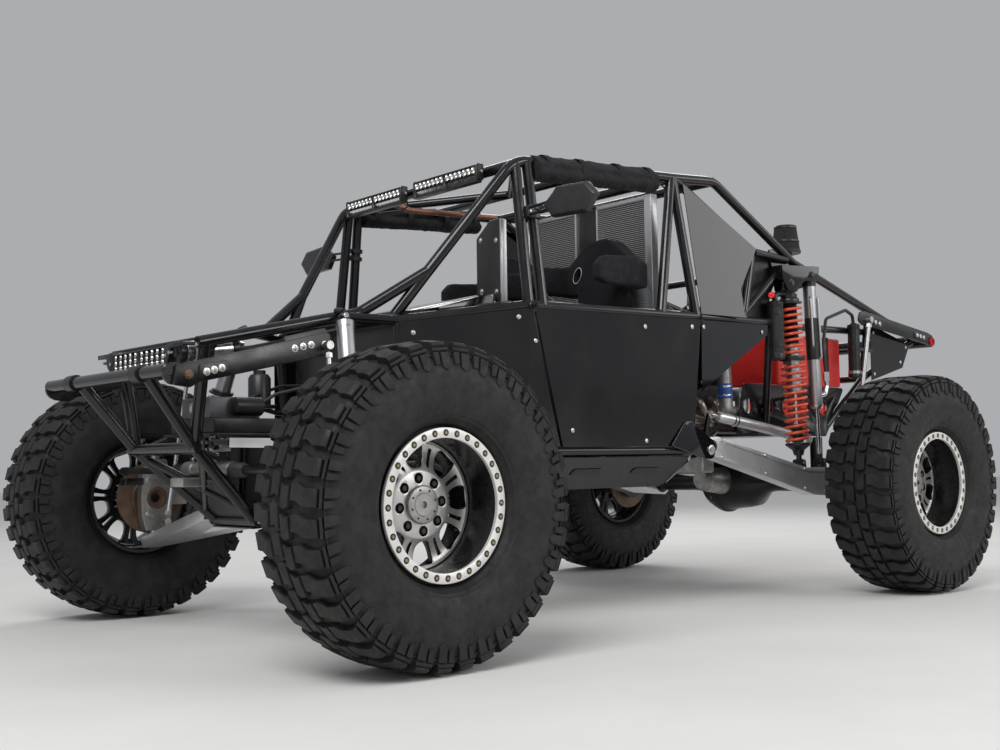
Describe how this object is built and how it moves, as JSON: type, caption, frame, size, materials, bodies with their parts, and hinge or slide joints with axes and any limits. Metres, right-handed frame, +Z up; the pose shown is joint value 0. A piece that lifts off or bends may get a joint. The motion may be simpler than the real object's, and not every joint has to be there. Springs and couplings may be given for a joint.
{
  "type": "off-road racing buggy",
  "caption": "Tube-framed rear-engined off-road racing buggy with an open cab, exposed long-travel suspension and knobbly beadlock tyres; it steers and rolls.",
  "frame": {"origin": "centre of the bounding box at its base, on the ground under the middle of the vehicle", "axes": "+Z up; the nose points towards -Y; the driver's left side is towards +X; +Y runs to the tail"},
  "size_m": [2.418, 4.6529, 1.9322],
  "materials": {
    "frame_tube": "gloss black powder coat",
    "body_panel": "high gloss black",
    "skid_plate": "satin black",
    "coil_spring_red": "semi gloss orange red coating",
    "coil_spring_black": "semi gloss black coating",
    "shock_metal": "polished",
    "arm_alloy": "machined",
    "sway_bar": "gloss black",
    "knuckle_cast": "cast",
    "wheel_alloy": "machined",
    "tyre_rubber": "matt",
    "dash_plastic": "matt",
    "engine_metal": "painted casting",
    "intake_metal": "satin black",
    "charge_pipe_alloy": "cast",
    "radiator_alloy": "brushed",
    "axle_paint": "satin black",
    "fuel_cell_plastic": "semi gloss red",
    "light_housing": "satin black",
    "mirror_plastic": "semi gloss",
    "seat_fabric": "woven",
    "net_fabric": "woven webbing",
    "steering_steel": "ground"
  },
  "bodies": {
    "chassis": {"belly_skid": "skid_plate", "bypass_rear_left": "shock_metal", "bypass_rear_right": "shock_metal", "charge_pipe": "charge_pipe_alloy", "coilover_front_left": "coil_spring_black", "coilover_front_right": "coil_spring_black", "coilover_rear_left": "coil_spring_red", "coilover_rear_right": "coil_spring_red", "cowl_panel_left": "body_panel", "cowl_panel_right": "body_panel", "dash": "dash_plastic", "door_panel_left": "body_panel", "door_panel_right": "body_panel", "engine": "engine_metal", "floor_pan": "skid_plate", "frame_cab": "frame_tube", "frame_nose": "frame_tube", "frame_rear": "frame_tube", "fuel_cell": "fuel_cell_plastic", "intake": "intake_metal", "lower_arm_left": "arm_alloy", "lower_arm_right": "arm_alloy", "mirror_left": "mirror_plastic", "mirror_right": "mirror_plastic", "net_roll_left": "net_fabric", "net_roll_right": "net_fabric", "nose_light_bar": "light_housing", "nose_reservoir_left": "shock_metal", "nose_reservoir_right": "shock_metal", "quarter_panel_left": "body_panel", "quarter_panel_right": "body_panel", "radiator": "radiator_alloy", "rear_axle": "axle_paint", "rear_skid": "skid_plate", "roof_light_bars": "light_housing", "seat_left": "seat_fabric", "seat_right": "seat_fabric", "sway_bar_front": "sway_bar", "sway_bar_rear": "sway_bar", "tail_panel_left": "body_panel", "tail_panel_right": "body_panel", "trailing_arm_left": "arm_alloy", "trailing_arm_right": "arm_alloy", "upper_arm_left": "arm_alloy", "upper_arm_right": "arm_alloy", "upper_link_left": "arm_alloy", "upper_link_right": "arm_alloy", "upper_panel_left": "body_panel", "upper_panel_right": "body_panel"},
    "steering_rod": {"steering_rod": "steering_steel"},
    "knuckle_left": {"knuckle_left": "knuckle_cast"},
    "knuckle_right": {"knuckle_right": "knuckle_cast"},
    "rolling_front_left": {"wheel_front_left": "wheel_alloy", "tyre_front_left": "tyre_rubber"},
    "rolling_front_right": {"wheel_front_right": "wheel_alloy", "tyre_front_right": "tyre_rubber"},
    "rolling_rear_left": {"wheel_rear_left": "wheel_alloy", "tyre_rear_left": "tyre_rubber"},
    "rolling_rear_right": {"wheel_rear_right": "wheel_alloy", "tyre_rear_right": "tyre_rubber"}
  },
  "joints": [
    {"name": "steer_left", "type": "hinge", "parent": "chassis", "child": "knuckle_left", "pos_m": [0.8, -1.7275, 0.506], "axis": [0, 0, 1], "range_deg": [-28, 28]},
    {"name": "steer_right", "type": "hinge", "parent": "chassis", "child": "knuckle_right", "pos_m": [-0.8, -1.7275, 0.506], "axis": [0, 0, 1], "range_deg": [-28, 28]},
    {"name": "rack_slide", "type": "slide", "parent": "chassis", "child": "steering_rod", "axis": [1, 0, 0], "range_m": [-0.0725, 0.0725]},
    {"name": "spin_front_left", "type": "hinge", "parent": "knuckle_left", "child": "rolling_front_left", "pos_m": [1.033, -1.7275, 0.506], "axis": [1, 0, 0], "continuous": true},
    {"name": "spin_front_right", "type": "hinge", "parent": "knuckle_right", "child": "rolling_front_right", "pos_m": [-1.033, -1.7275, 0.506], "axis": [1, 0, 0], "continuous": true},
    {"name": "spin_rear_left", "type": "hinge", "parent": "chassis", "child": "rolling_rear_left", "pos_m": [1.0095, 1.2315, 0.506], "axis": [1, 0, 0], "continuous": true},
    {"name": "spin_rear_right", "type": "hinge", "parent": "chassis", "child": "rolling_rear_right", "pos_m": [-1.0095, 1.2315, 0.506], "axis": [1, 0, 0], "continuous": true}
  ],
  "couplings": [
    {"joint": "steer_right", "follows": "steer_left", "ratio": 1},
    {"joint": "rack_slide", "follows": "steer_left", "m_per_rad": 0.145}
  ]
}
